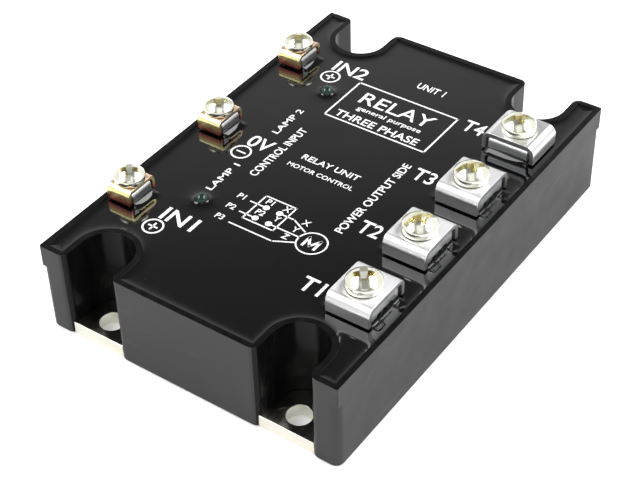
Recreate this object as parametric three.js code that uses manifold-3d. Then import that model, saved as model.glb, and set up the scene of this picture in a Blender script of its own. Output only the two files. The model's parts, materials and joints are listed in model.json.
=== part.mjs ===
// Solid state reversing relay for mounting on a heat sink, in millimetres, +Z up.
// Origin: centre of the base plate's underside. +X runs along the housing, the row of
// control terminals is on the +Y side and the row of load terminals on the -Y side.
// A black frame stands on a metal plate. Inside, power thyristors sit on ceramic tiles
// under soft gel, a circuit board lies above them, and hard black resin fills the rest in
// two pours: one round the parts on the board, and a thin glossy one on top.

import * as THREE from "three";
import { mergeVertices } from "three/addons/utils/BufferGeometryUtils.js";
import Module from "manifold-3d";

const wasm = await Module();
wasm.setup();

// ---------------------------------------------------------------- driving dimensions

const LENGTH = 104;
const WIDTH = 72.8;
const GAP = 0.15; // clearance between neighbouring solids
const PAST = 1; // how far a cutting solid runs past the face that it opens
const ROUND = 16; // sides of a round screw, hole or rod

const HOUSING = { bottom: 0.2, top: 21.35, wall: 1.3, step: 16.3, cornerR: 1.8, topCornerR: 0.4 };
const NOTCH = { y: 23.8, half: 6.1, centreX: 46.1, mouthR: 1.7 };
const PLATE = { thickness: 3, tabX: 51.5, tabHalf: 6.5, chamfer: 1, holeX: 47, holeR: 2.7 };
const INNER_CORNER_R = 0.5;

const BOARD = { bottom: 8, top: 9.6, inset: 0.5 };
const GEL = { bottom: PLATE.thickness + GAP, top: 7.75, inset: 0.3 };
const RESIN = { bottom: BOARD.top + GAP, split: 19.4, top: 21, inset: GAP };

const TILE = { length: 15, width: 22, thickness: 0.65, y: -22 };
const DIE = { side: 5.5, thickness: 0.35, y: -15, spread: 3.4 };

// One terminal is a bridge-shaped lug with a threaded top, a saddle clamp and a pan screw.
// A clamp's hole is loose on its screw, so each clamp lies shiftX off the screw's axis.
const LOAD_PITCH = 19.9;
const LOAD = {
  names: ["1", "2", "3", "4"],
  places: [-1.5, -0.5, 0.5, 1.5].map((step) => [step * LOAD_PITCH, -27.5]),
  lug: { span: 9.3, width: 9.4, sheet: 2, top: 24.5, foot: 4.1, bendR: 0.9, holeR: 2 },
  clamp: { span: 12.5, width: 10, sheet: 1, top: 25.7, foot: 21.5, bendR: 2, holeR: 2.4 },
  screw: { headR: 3.8, headHeight: 3.2, shankR: 1.92, tip: 20.4, slot: 1, crossR: 2.1 },
  shiftX: 0.25,
  lugTurn: 0,
};
const CONTROL = {
  names: ["reverse", "common", "forward"],
  places: [[-28.6, 31.7], [1, 31.1], [31.3, 31.3]],
  lug: { span: 6.2, width: 5.9, sheet: 1, top: 24.1, foot: 7.9, bendR: 1.1, holeR: 1.78 },
  clamp: { span: 8.3, width: 6, sheet: 0.8, top: 25, foot: 21.6, bendR: 1.4, holeR: 2.1 },
  screw: { headR: 3.35, headHeight: 2.7, shankR: 1.7, tip: 20.4, slot: 0.9, crossR: 1.8 },
  shiftX: 0.1,
  lugTurn: Math.PI / 2,
};
const WELL_EXTRA_R = 0.4; // clearance round a screw's shank in the resin

const OPTO = { length: 8.6, width: 6.3, height: 3.3, y: -7.5 };
const CAPACITOR = { length: 13, width: 5, height: 9, y: -16.5 };
const RESISTOR = { length: 9, radius: 1.6, y: -0.5 };
const DIODE = { length: 5.2, radius: 1.35 };
const TRANSISTOR = { radius: 2.3, height: 4.8 };
const LED = { radius: 1.5, flangeR: 1.9, flangeHeight: 1, bottom: 15.6, top: 22.5 };
const LED_PLACES = { forward: [24.1, 18.4], reverse: [-22, 18.3] };
const PART_LIFT = 0.5; // how far a part's body stands above the circuit board
const LEAD = 0.6; // side of a square lead

// -------------------------------------------------------------------- shape helpers

function toSolid(geometry) {
  const bare = geometry.clone();
  bare.deleteAttribute("normal");
  bare.deleteAttribute("uv");
  const welded = mergeVertices(bare, 1e-4);
  const index = welded.index.array;
  const triangles = [];
  for (let i = 0; i < index.length; i += 3) {
    const [a, b, c] = [index[i], index[i + 1], index[i + 2]];
    if (a !== b && b !== c && c !== a) triangles.push(a, b, c);
  }
  return new wasm.Manifold(new wasm.Mesh({
    numProp: 3,
    vertProperties: new Float32Array(welded.attributes.position.array),
    triVerts: new Uint32Array(triangles),
  }));
}

function toGeometry(solid) {
  const mesh = solid.getMesh();
  const indexed = new THREE.BufferGeometry();
  indexed.setAttribute("position", new THREE.BufferAttribute(mesh.vertProperties, 3));
  indexed.setIndex(new THREE.BufferAttribute(mesh.triVerts, 1));
  const geometry = indexed.toNonIndexed();
  geometry.computeVertexNormals();
  return geometry;
}

function joined(solids) {
  return solids.reduce((whole, next) => whole.add(next));
}

function cutBy(solid, tools) {
  return tools.reduce((rest, tool) => rest.subtract(tool), solid);
}

function prism(shape, low, high) {
  const geometry = new THREE.ExtrudeGeometry(shape, { depth: high - low, bevelEnabled: false });
  return toSolid(geometry.translate(0, 0, low));
}

function block(x, y, length, width, low, high) {
  const geometry = new THREE.BoxGeometry(length, width, high - low);
  return toSolid(geometry.translate(x, y, (low + high) / 2));
}

function rod(x, y, radius, low, high) {
  const geometry = new THREE.CylinderGeometry(radius, radius, high - low, ROUND);
  return toSolid(geometry.rotateX(Math.PI / 2).translate(x, y, (low + high) / 2));
}

function rodAlongX(x, y, z, radius, length) {
  const geometry = new THREE.CylinderGeometry(radius, radius, length, 12);
  return toSolid(geometry.rotateZ(Math.PI / 2).translate(x, y, z));
}

function turned(profile) {
  const points = profile.map(([r, z]) => new THREE.Vector2(r, z));
  return toSolid(new THREE.LatheGeometry(points, ROUND).rotateX(Math.PI / 2));
}

function arc(x, y, radius, from, to, steps) {
  const points = [];
  for (let i = 0; i <= steps; i += 1) {
    const angle = THREE.MathUtils.degToRad(from + ((to - from) * i) / steps);
    points.push(new THREE.Vector2(x + radius * Math.cos(angle), y + radius * Math.sin(angle)));
  }
  return points;
}

// ------------------------------------------------------------------ plan outlines

// The rectangle with two U notches in each short end. inset moves every wall inwards.
function plan(inset, cornerR, mouthR, cornerSteps) {
  const endX = LENGTH / 2 - inset;
  const sideY = WIDTH / 2 - inset;
  const half = NOTCH.half + inset;
  const oneEnd = arc(endX - cornerR, -sideY + cornerR, cornerR, -90, 0, cornerSteps);
  for (const y of [-NOTCH.y, NOTCH.y]) {
    oneEnd.push(...arc(endX - mouthR, y - half - mouthR, mouthR, 0, 90, cornerSteps));
    oneEnd.push(...arc(NOTCH.centreX, y, half, -90, -270, 12));
    oneEnd.push(...arc(endX - mouthR, y + half + mouthR, mouthR, -90, 0, cornerSteps));
  }
  oneEnd.push(...arc(endX - cornerR, sideY - cornerR, cornerR, 0, 90, cornerSteps));
  const otherEnd = oneEnd.map((p) => new THREE.Vector2(-p.x, -p.y));
  return new THREE.Shape([...oneEnd, ...otherEnd]);
}

function innerPlan(inset) {
  return plan(HOUSING.wall + inset, INNER_CORNER_R, INNER_CORNER_R, 1);
}

// The base plate fills the frame and shows in the four notch mouths as flush tabs.
function platePlan(grow) {
  const endX = LENGTH / 2 - HOUSING.wall - GAP + grow;
  const sideY = WIDTH / 2 - HOUSING.wall - GAP + grow;
  const tabX = PLATE.tabX + grow;
  const tabHalf = PLATE.tabHalf + grow;
  const oneEnd = [[endX - PLATE.chamfer, -sideY], [endX, -sideY + PLATE.chamfer]];
  for (const y of [-NOTCH.y, NOTCH.y]) {
    oneEnd.push([endX, y - tabHalf], [tabX, y - tabHalf], [tabX, y + tabHalf], [endX, y + tabHalf]);
  }
  oneEnd.push([endX, sideY - PLATE.chamfer], [endX - PLATE.chamfer, sideY]);
  const otherEnd = oneEnd.map(([x, y]) => [-x, -y]);
  return new THREE.Shape([...oneEnd, ...otherEnd].map(([x, y]) => new THREE.Vector2(x, y)));
}

// ---------------------------------------------------------------- body of the relay

function basePlate() {
  const holes = [-1, 1].flatMap((end) => [-1, 1].map((side) => (
    rod(end * PLATE.holeX, side * NOTCH.y, PLATE.holeR, -PAST, PLATE.thickness + PAST)
  )));
  return cutBy(prism(platePlan(0), 0, PLATE.thickness), holes);
}

// The corners are rounded up to a step and nearly square above it.
function housing() {
  const lower = prism(plan(0, HOUSING.cornerR, NOTCH.mouthR, 4), HOUSING.bottom, HOUSING.step);
  const upper = prism(plan(0, HOUSING.topCornerR, NOTCH.mouthR, 4), HOUSING.step, HOUSING.top);
  const hollow = prism(innerPlan(0), -PAST, HOUSING.top + PAST);
  const plateSeat = prism(platePlan(GAP), -PAST, PLATE.thickness + GAP);
  return cutBy(lower.add(upper), [hollow, plateSeat]);
}

// Vertical passages for the two legs of every lug of the given terminals.
function legPassages(terminals, low, high) {
  return terminals.flatMap(({ lug, places, lugTurn }) => places.flatMap(([x, y]) => (
    [-1, 1].map((side) => {
      const offset = (side * (lug.span - lug.sheet)) / 2;
      const leg = block(offset, 0, lug.sheet + 2 * GAP, lug.width + 2 * GAP, low, high);
      return leg.rotate([0, 0, THREE.MathUtils.radToDeg(lugTurn)]).translate([x, y, 0]);
    })
  )));
}

function circuitBoard() {
  const board = prism(innerPlan(BOARD.inset), BOARD.bottom, BOARD.top);
  return cutBy(board, legPassages([LOAD, CONTROL], BOARD.bottom - PAST, BOARD.top + PAST));
}

function gelLayer() {
  const layer = prism(innerPlan(GEL.inset), GEL.bottom, GEL.top);
  const pocketTop = GEL.bottom + TILE.thickness + GAP + DIE.thickness + GAP;
  const pockets = LOAD.places.map(([x]) => (
    block(x, TILE.y, TILE.length + 2 * GAP, TILE.width + 2 * GAP, GEL.bottom - PAST, pocketTop)
  ));
  return cutBy(layer, [...pockets, ...legPassages([LOAD], GEL.bottom - PAST, GEL.top + PAST)]);
}

// The first pour has a pocket over each part on the board and one round each lamp.
function innerResin(boardParts) {
  const fill = prism(innerPlan(RESIN.inset), RESIN.bottom, RESIN.split);
  const pockets = boardParts.map(({ x, y, length, width, top }) => (
    block(x, y, length + 2 * GAP, width + 2 * GAP, RESIN.bottom - PAST, top + GAP)
  ));
  const lampPockets = Object.values(LED_PLACES).flatMap(([x, y]) => [
    rod(x, y, LED.radius + GAP, RESIN.bottom - PAST, RESIN.split + PAST),
    rod(x, y, LED.flangeR + GAP, RESIN.bottom - PAST, LED.bottom + LED.flangeHeight + GAP),
  ]);
  const legs = legPassages([LOAD, CONTROL], RESIN.bottom - PAST, RESIN.split + PAST);
  return cutBy(fill, [...pockets, ...lampPockets, ...legs]);
}

// The second pour is the top of the relay, with a well for the tip of each screw.
function pottingResin() {
  const low = RESIN.split + GAP;
  const wells = [LOAD, CONTROL].flatMap(({ places, screw }) => places.map(([x, y]) => (
    rod(x, y, screw.shankR + WELL_EXTRA_R, low - PAST, RESIN.top + PAST)
  )));
  const windows = Object.values(LED_PLACES).map(([x, y]) => (
    rod(x, y, LED.radius + GAP, low - PAST, RESIN.top + PAST)
  ));
  const legs = legPassages([LOAD, CONTROL], low - PAST, RESIN.top + PAST);
  return cutBy(prism(innerPlan(RESIN.inset), low, RESIN.top), [...wells, ...windows, ...legs]);
}

// ------------------------------------------------------------------ power section

function ceramicTile() {
  return block(0, TILE.y, TILE.length, TILE.width, GEL.bottom, GEL.bottom + TILE.thickness);
}

function thyristorDie(side) {
  const low = GEL.bottom + TILE.thickness + GAP;
  return block(side * DIE.spread, DIE.y, DIE.side, DIE.side, low, low + DIE.thickness);
}

// ------------------------------------------------------------- parts on the board

const BODY_LOW = BOARD.top + PART_LIFT;

// Square leads at the given places, from just above the board to a height in the body.
function leads(places, high) {
  return places.map(([x, y]) => block(x, y, LEAD, LEAD, BOARD.top + GAP, high));
}

function optocoupler() {
  const { length, width, height } = OPTO;
  const pins = [-2.54, 0, 2.54].flatMap((x) => [[x, -width / 2], [x, width / 2]]);
  const body = block(0, 0, length, width, BODY_LOW, BODY_LOW + height);
  return joined([body, ...leads(pins, BODY_LOW + height / 2)]);
}

function capacitor() {
  const { length, width, height } = CAPACITOR;
  const body = block(0, 0, length, width, BODY_LOW, BODY_LOW + height);
  return joined([body, ...leads([[-length * 0.38, 0], [length * 0.38, 0]], BODY_LOW + 1)]);
}

// A round body lying along X, with a lead bent down to the board at each end.
function axialPart({ length, radius }) {
  const z = BODY_LOW + radius;
  const reach = length / 2 + 1.2;
  const wire = block(0, 0, 2 * reach, LEAD, z - LEAD / 2, z + LEAD / 2);
  const ends = leads([[-reach + LEAD / 2, 0], [reach - LEAD / 2, 0]], z);
  return joined([rodAlongX(0, 0, z, radius, length), wire, ...ends]);
}

function transistor() {
  const { radius, height } = TRANSISTOR;
  const outline = new THREE.Shape(arc(0, 0, radius, -40, 220, 12));
  const low = BODY_LOW + 1;
  const body = prism(outline, low, low + height);
  return joined([body, ...leads([[-1.27, 0], [0, 0], [1.27, 0]], low + 1)]);
}

function lamp() {
  const { radius, flangeR, flangeHeight, bottom, top } = LED;
  const shoulder = bottom + flangeHeight;
  const dome = arc(0, top - radius, radius, 0, 90, 4).map((p) => [p.x, p.y]);
  dome[dome.length - 1][0] = 0;
  const body = turned([
    [0, bottom], [flangeR, bottom], [flangeR, shoulder], [radius, shoulder], ...dome,
  ]);
  return joined([body, ...leads([[-0.9, 0], [0.9, 0]], shoulder)]);
}

// ------------------------------------------------------------------ terminal parts

// An upside-down U of bent sheet with a round hole in its top. Its legs face +X and -X.
function bridge({ span, width, sheet, top, foot, bendR, holeR }) {
  const half = span / 2;
  const innerR = Math.max(bendR - sheet, 0.2);
  const outer = [
    ...arc(half - bendR, top - bendR, bendR, 0, 90, 4),
    ...arc(-half + bendR, top - bendR, bendR, 90, 180, 4),
  ];
  const inner = [
    ...arc(-half + sheet + innerR, top - sheet - innerR, innerR, 180, 90, 3),
    ...arc(half - sheet - innerR, top - sheet - innerR, innerR, 90, 0, 3),
  ];
  const section = new THREE.Shape([
    new THREE.Vector2(half, foot),
    ...outer,
    new THREE.Vector2(-half, foot),
    new THREE.Vector2(-half + sheet, foot),
    ...inner,
    new THREE.Vector2(half - sheet, foot),
  ]);
  const geometry = new THREE.ExtrudeGeometry(section, { depth: width, bevelEnabled: false });
  geometry.rotateX(Math.PI / 2).translate(0, width / 2, 0);
  return toSolid(geometry).subtract(rod(0, 0, holeR, top - sheet - PAST, top + PAST));
}

// A pan head screw with a slot across the head and a cross in its middle.
function panScrew({ headR, headHeight, shankR, tip, slot, crossR }, seat) {
  const top = seat + headHeight;
  const body = turned([
    [0, tip], [shankR - 0.4, tip], [shankR, tip + 0.4], [shankR, seat],
    [headR - 0.15, seat], [headR, seat + 0.15], [headR, seat + 0.45 * headHeight],
    [headR * 0.93, seat + 0.72 * headHeight], [headR * 0.75, seat + 0.9 * headHeight],
    [headR * 0.45, top - 0.05], [0, top],
  ]);
  return cutBy(body, [
    block(0, 0, 2 * headR + PAST, slot, top - 0.33 * headHeight, top + PAST),
    block(0, 0, slot, 2 * crossR, top - 0.55 * headHeight, top + PAST),
    block(0, 0, 2 * crossR, slot, top - 0.55 * headHeight, top + PAST),
  ]);
}

// ------------------------------------------------------------------------ assembly

function finish(color, roughness, metalness) {
  return new THREE.MeshStandardMaterial({ color, roughness, metalness });
}

const FINISH = {
  housing: finish(0x262626, 0.55, 0),
  resin: finish(0x141414, 0.12, 0),
  plate: finish(0xd6d3c4, 0.3, 1),
  gel: finish(0xd9dde0, 0.2, 0),
  board: finish(0x1f5a34, 0.5, 0),
  ceramic: finish(0xf0efe8, 0.5, 0),
  silicon: finish(0x5c6068, 0.25, 0.6),
  chip: finish(0x1a1a1c, 0.5, 0),
  film: finish(0xb98a2c, 0.35, 0),
  resistor: finish(0x6f9fb5, 0.5, 0),
  lamp: finish(0x0d3b22, 0.15, 0),
  nickel: finish(0xd8d6cc, 0.22, 1),
  tin: finish(0xc4c6c8, 0.35, 1),
  chromate: finish(0xcdb562, 0.3, 1),
};

const group = new THREE.Group();

function place(parent, name, solid, material, x = 0, y = 0, turn = 0) {
  const mesh = new THREE.Mesh(toGeometry(solid), material);
  mesh.name = name;
  mesh.position.set(x, y, 0);
  mesh.rotation.z = turn;
  parent.add(mesh);
}

// The boxes that the resin leaves free, one for each part on the board.
const boardParts = [];

function placeOnBoard(name, solid, material, x, y) {
  const { min, max } = solid.boundingBox();
  place(group, name, solid, material, x, y);
  boardParts.push({
    x: x + (min[0] + max[0]) / 2,
    y: y + (min[1] + max[1]) / 2,
    length: max[0] - min[0],
    width: max[1] - min[1],
    top: max[2],
  });
}

LOAD.places.forEach(([x], i) => {
  const number = LOAD.names[i];
  place(group, `ceramic_tile_${number}`, ceramicTile(), FINISH.ceramic, x);
  place(group, `thyristor_die_${number}a`, thyristorDie(-1), FINISH.silicon, x);
  place(group, `thyristor_die_${number}b`, thyristorDie(1), FINISH.silicon, x);
  placeOnBoard(`optocoupler_${number}`, optocoupler(), FINISH.chip, x, OPTO.y);
  placeOnBoard(`snubber_capacitor_${number}`, capacitor(), FINISH.film, x, CAPACITOR.y);
  placeOnBoard(`snubber_resistor_${number}`, axialPart(RESISTOR), FINISH.resistor, x, RESISTOR.y);
});

for (const [name, [x, y]] of Object.entries(LED_PLACES)) {
  const inwards = -Math.sign(x);
  place(group, `led_${name}`, lamp(), FINISH.lamp, x, y);
  placeOnBoard(`input_transistor_${name}`, transistor(), FINISH.chip, x + 7 * inwards, y);
  placeOnBoard(`input_diode_${name}`, axialPart(DIODE), FINISH.chip, x + 7 * inwards, y - 7);
}

place(group, "base_plate", basePlate(), FINISH.plate);
place(group, "housing", housing(), FINISH.housing);
place(group, "gel_layer", gelLayer(), FINISH.gel);
place(group, "circuit_board", circuitBoard(), FINISH.board);
place(group, "inner_resin", innerResin(boardParts), FINISH.resin);
place(group, "potting_resin", pottingResin(), FINISH.resin);

// The last load clamp sits a quarter turn round on its lug, as a loosened clamp can.
function addTerminals(side, { names, places, lug, clamp, screw, shiftX, lugTurn }, clampFinish) {
  places.forEach(([x, y], i) => {
    const terminal = new THREE.Group();
    const turn = names[i] === "4" ? Math.PI / 2 : 0;
    const pan = panScrew(screw, clamp.top + GAP);
    terminal.position.set(x, y, 0);
    place(terminal, `${side}_lug_${names[i]}`, bridge(lug), FINISH.tin, 0, 0, lugTurn);
    place(terminal, `${side}_clamp_${names[i]}`, bridge(clamp), clampFinish, shiftX, 0, turn);
    place(terminal, `${side}_screw_${names[i]}`, pan, FINISH.nickel);
    group.add(terminal);
  });
}

addTerminals("output", LOAD, FINISH.nickel);
addTerminals("input", CONTROL, FINISH.chromate);

export default group;
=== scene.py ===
"""Looks for a potted solid state relay on a metal base plate. Shapes are made in millimetres
and scaled to metres as each mesh is built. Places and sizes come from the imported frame."""

import json
import math
import random

import bmesh
import bpy
from mathutils import Matrix, Vector, geometry


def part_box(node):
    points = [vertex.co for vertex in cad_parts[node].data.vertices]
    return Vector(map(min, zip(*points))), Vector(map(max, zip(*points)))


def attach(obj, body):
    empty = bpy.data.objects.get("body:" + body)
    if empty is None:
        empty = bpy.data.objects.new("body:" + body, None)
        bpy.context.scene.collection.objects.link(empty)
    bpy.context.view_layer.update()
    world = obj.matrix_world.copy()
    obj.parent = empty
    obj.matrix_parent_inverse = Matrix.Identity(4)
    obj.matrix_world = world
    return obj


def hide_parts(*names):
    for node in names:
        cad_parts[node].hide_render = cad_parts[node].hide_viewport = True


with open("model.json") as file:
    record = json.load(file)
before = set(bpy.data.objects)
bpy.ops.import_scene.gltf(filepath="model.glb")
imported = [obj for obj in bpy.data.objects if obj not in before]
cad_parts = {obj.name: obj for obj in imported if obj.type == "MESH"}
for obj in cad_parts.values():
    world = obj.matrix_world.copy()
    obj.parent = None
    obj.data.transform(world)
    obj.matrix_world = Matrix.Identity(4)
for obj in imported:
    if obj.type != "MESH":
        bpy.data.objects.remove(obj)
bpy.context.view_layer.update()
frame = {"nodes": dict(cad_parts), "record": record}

MM = 0.001
SEED = 7

# ---- sizes in millimetres


def box_mm(node):
    low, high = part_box(node)
    return low / MM, high / MM


HOUSING_LOW, HOUSING_HIGH = box_mm("housing")
PLATE_LOW, PLATE_HIGH = box_mm("base_plate")
RESIN_LOW, RESIN_HIGH = box_mm("potting_resin")

GAP = 0.15  # clearance between neighbouring pieces
LENGTH = HOUSING_HIGH.x - HOUSING_LOW.x
WIDTH = HOUSING_HIGH.y - HOUSING_LOW.y
WALL = RESIN_LOW.x - HOUSING_LOW.x - GAP
RIM_Z = HOUSING_HIGH.z
RESIN_Z = RESIN_HIGH.z
PLATE_TOP = PLATE_HIGH.z

STEP_Z = 16.3
CORNER_R = 1.8
TOP_CORNER_R = 0.4
INNER_CORNER_R = 0.5
NOTCH_Y = 23.8
NOTCH_HALF = 6.1
NOTCH_CENTRE_X = 46.1
MOUTH_R = 1.7
HOLE_X = 47.0
HOLE_R = 2.7
PLATE_TAB_HALF = 6.5
PLATE_CORNER_R = 1

# Bent sheet: its thickness, and the radii of its bend, its hole and its softened edges.
LOAD_LUG = dict(sheet=2.0, bend_r=0.9, hole_r=2.0, edge_r=0.12)
LOAD_CLAMP = dict(sheet=1.0, bend_r=2.0, hole_r=2.3, edge_r=0.08)
CONTROL_LUG = dict(sheet=1.0, bend_r=1.1, hole_r=1.78, edge_r=0.1)
CONTROL_CLAMP = dict(sheet=0.8, bend_r=1.4, hole_r=2.0, edge_r=0.07)

LOAD_SCREW = dict(shank_r=1.95, pitch=0.7, slot=1.3, head_height=3.2)
CONTROL_SCREW = dict(shank_r=1.72, pitch=0.6, slot=1.1, head_height=2.7)
LOAD_WELL_R = 2.05
CONTROL_WELL_R = 1.85
DOME_SHARE = 0.56  # of the head's height
SLOT_FLOOR = 0.60  # of the head's height

LOAD_NAMES = ("1", "2", "3", "4")
CONTROL_NAMES = ("reverse", "common", "forward")
LAMP_NAMES = ("forward", "reverse")


def centre_of(node):
    low, high = box_mm(node)
    return (low.x + high.x) / 2, (low.y + high.y) / 2



# ---- mesh helpers


def arc(x, y, radius, start, end, steps):
    points = []
    for i in range(steps + 1):
        angle = math.radians(start + (end - start) * i / steps)
        points.append((x + radius * math.cos(angle), y + radius * math.sin(angle)))
    return points


def place(name, data):
    obj = bpy.data.objects.new(name, data)
    bpy.context.scene.collection.objects.link(obj)
    return obj


def make_object(name, vertices, faces):
    mesh = bpy.data.meshes.new(name)
    mesh.from_pydata([(x * MM, y * MM, z * MM) for x, y, z in vertices], [], faces)
    obj = place(name, mesh)
    clean(obj)
    return obj


def clean(obj, weld=1e-3):
    """Welds doubled points and turns every face outwards."""
    work = bmesh.new()
    work.from_mesh(obj.data)
    bmesh.ops.remove_doubles(work, verts=work.verts, dist=weld * MM)
    bmesh.ops.recalc_face_normals(work, faces=work.faces)
    work.to_mesh(obj.data)
    work.free()


def apply_modifiers(obj):
    bpy.context.view_layer.update()
    evaluated = obj.evaluated_get(bpy.context.evaluated_depsgraph_get())
    mesh = bpy.data.meshes.new_from_object(evaluated)
    obj.modifiers.clear()
    old = obj.data
    obj.data = mesh
    bpy.data.meshes.remove(old)


def soften(obj, width, segments=2, angle=35):
    """Rounds every edge sharper than angle, by width in millimetres."""
    bevel = obj.modifiers.new("bevel", "BEVEL")
    bevel.width = width * MM
    bevel.segments = segments
    bevel.limit_method = "ANGLE"
    bevel.angle_limit = math.radians(angle)
    apply_modifiers(obj)


def smooth(obj, angle=40):
    """Smooth shading that keeps large faces flat and edges sharper than angle crisp."""
    limit = math.radians(angle)
    work = bmesh.new()
    work.from_mesh(obj.data)
    for face in work.faces:
        face.smooth = True
    for edge in work.edges:
        if len(edge.link_faces) == 2:
            edge.smooth = edge.calc_face_angle(0) < limit
    work.to_mesh(obj.data)
    work.free()
    weighted = obj.modifiers.new("weighted", "WEIGHTED_NORMAL")
    weighted.keep_sharp = True
    apply_modifiers(obj)


def cut(obj, tool):
    """Takes tool's volume out of obj and removes tool."""
    modifier = obj.modifiers.new("cut", "BOOLEAN")
    modifier.operation = "DIFFERENCE"
    modifier.solver = "EXACT"
    modifier.object = tool
    apply_modifiers(obj)
    bpy.data.objects.remove(tool)
    clean(obj, weld=1e-4)


def loop_stack(name, loops, closed_ring=False):
    """Joins loops of equal length into a skin. A closed ring joins the last to the first;
    otherwise the two ends are capped."""
    count = len(loops[0])
    vertices = [point for loop in loops for point in loop]
    faces = []
    rows = len(loops) if closed_ring else len(loops) - 1
    for row in range(rows):
        low = row * count
        high = ((row + 1) % len(loops)) * count
        for i in range(count):
            j = (i + 1) % count
            faces.append((low + i, low + j, high + j, high + i))
    if not closed_ring:
        faces.append(tuple(reversed(range(count))))
        faces.append(tuple(range(len(vertices) - count, len(vertices))))
    return make_object(name, vertices, faces)


def inset_outline(points, distance):
    """Moves each side of a counter-clockwise outline inwards by distance."""
    moved = []
    count = len(points)
    for i in range(count):
        before = Vector(points[i]) - Vector(points[i - 1])
        after = Vector(points[(i + 1) % count]) - Vector(points[i])
        if before.length < 1e-9:
            before = after
        if after.length < 1e-9:
            after = before
        normal_a = Vector((-before.y, before.x)).normalized()
        normal_b = Vector((-after.y, after.x)).normalized()
        middle = normal_a + normal_b
        middle /= max(middle.length_squared / 2, 0.3)
        moved.append((points[i][0] + middle.x * distance, points[i][1] + middle.y * distance))
    return moved


def rounded_loops(outline, low, high, radius, steps=3):
    """Loops up the side of a slab whose two rims are rounded by radius."""
    loops = []
    for i in range(steps + 1):
        angle = math.pi / 2 * i / steps
        inset = inset_outline(outline, radius * (1 - math.sin(angle)))
        loops.append([(x, y, low + radius * (1 - math.cos(angle))) for x, y in inset])
    for i in range(steps + 1):
        angle = math.pi / 2 * i / steps
        inset = inset_outline(outline, radius * (1 - math.cos(angle)))
        loops.append([(x, y, high - radius * (1 - math.sin(angle))) for x, y in inset])
    return loops


def inside(point, loop):
    """True if the point lies within the closed loop."""
    within = False
    for i, (x1, y1) in enumerate(loop):
        x0, y0 = loop[i - 1]
        if (y0 > point[1]) != (y1 > point[1]):
            if point[0] < x0 + (x1 - x0) * (point[1] - y0) / (y1 - y0):
                within = not within
    return within


def flat_region(boundary, holes, extra=()):
    """Triangles that fill a boundary and leave its holes open, with the points they use."""
    points = []
    edges = []
    for loop in (boundary, *holes):
        start = len(points)
        count = len(loop)
        points += [Vector(p) for p in loop]
        edges += [(start + i, start + (i + 1) % count) for i in range(count)]
    points += [Vector(p) for p in extra]
    net = geometry.delaunay_2d_cdt(points, edges, [], 1, 1e-6)
    corners = net[0]
    triangles = []
    for t in net[2]:
        middle = (corners[t[0]] + corners[t[1]] + corners[t[2]]) / 3
        if not any(inside(middle, hole) for hole in holes):
            triangles.append(tuple(t))
    return corners, triangles


def slab(name, outline, holes, low, high, radius, steps=3):
    """An upright slab with rounded rims and round-rimmed holes. The outline runs
    counter-clockwise and each hole clockwise."""
    vertices = []
    faces = []
    for loop in [outline, *holes]:
        stack = rounded_loops(loop, low, high, radius, steps)
        count = len(loop)
        for row, ring in enumerate(stack):
            base = len(vertices)
            vertices += ring
            if row:
                for i in range(count):
                    j = (i + 1) % count
                    faces.append((base - count + i, base - count + j, base + j, base + i))
    boundary = inset_outline(outline, radius)
    rims = [inset_outline(hole, radius) for hole in holes]
    points, triangles = flat_region(boundary, rims)
    for z in (low, high):
        base = len(vertices)
        vertices += [(p.x, p.y, z) for p in points]
        faces += [tuple(base + i for i in t) for t in triangles]
    return make_object(name, vertices, faces)


def round_rod(name, x, y, radius, low, high, sides=48):
    ring = arc(x, y, radius, 0, 360, sides)[:-1]
    return loop_stack(name, [[(px, py, z) for px, py in ring] for z in (low, high)])


def move_mesh(obj, matrix):
    obj.data.transform(matrix)
    return obj


def shift(x, y, z):
    return Matrix.Translation((x * MM, y * MM, z * MM))


# ---- plan outlines


def end_outline(inset, corner_r, mouth_r, corner_steps, notch_steps):
    """The +X end, from the -Y side to the +Y side. The second list marks the points that lie
    in a notch; each change of mark has a doubled point."""
    end_x = LENGTH / 2 - inset
    side_y = WIDTH / 2 - inset
    half = NOTCH_HALF + inset
    points = arc(end_x - corner_r, -side_y + corner_r, corner_r, -90, 0, corner_steps)
    marks = [False] * len(points)
    for y in (-NOTCH_Y, NOTCH_Y):
        centre_x = end_x - mouth_r
        lower = y - half - mouth_r
        upper = y + half + mouth_r
        steps = corner_steps // 2
        parts = [
            (arc(centre_x, lower, mouth_r, 0, 45, steps), False),
            (arc(centre_x, lower, mouth_r, 45, 90, steps), True),
            (arc(NOTCH_CENTRE_X, y, half, -90, -270, notch_steps), True),
            (arc(centre_x, upper, mouth_r, -90, -45, steps), True),
            (arc(centre_x, upper, mouth_r, -45, 0, steps), False),
        ]
        for part, mark in parts:
            points += part
            marks += [mark] * len(part)
    last = arc(end_x - corner_r, side_y - corner_r, corner_r, 0, 90, corner_steps)
    return points + last, marks + [False] * len(last)


def plan(inset, corner_r=INNER_CORNER_R, mouth_r=INNER_CORNER_R, corner_steps=6, notch_steps=28):
    end, marks = end_outline(inset, corner_r, mouth_r, corner_steps, notch_steps)
    return end + [(-x, -y) for x, y in end], marks + marks


def without_doubles(points):
    kept = []
    for point in points:
        if not kept or (Vector(point) - Vector(kept[-1])).length > 1e-4:
            kept.append(point)
    return kept


# ---- materials


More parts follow.
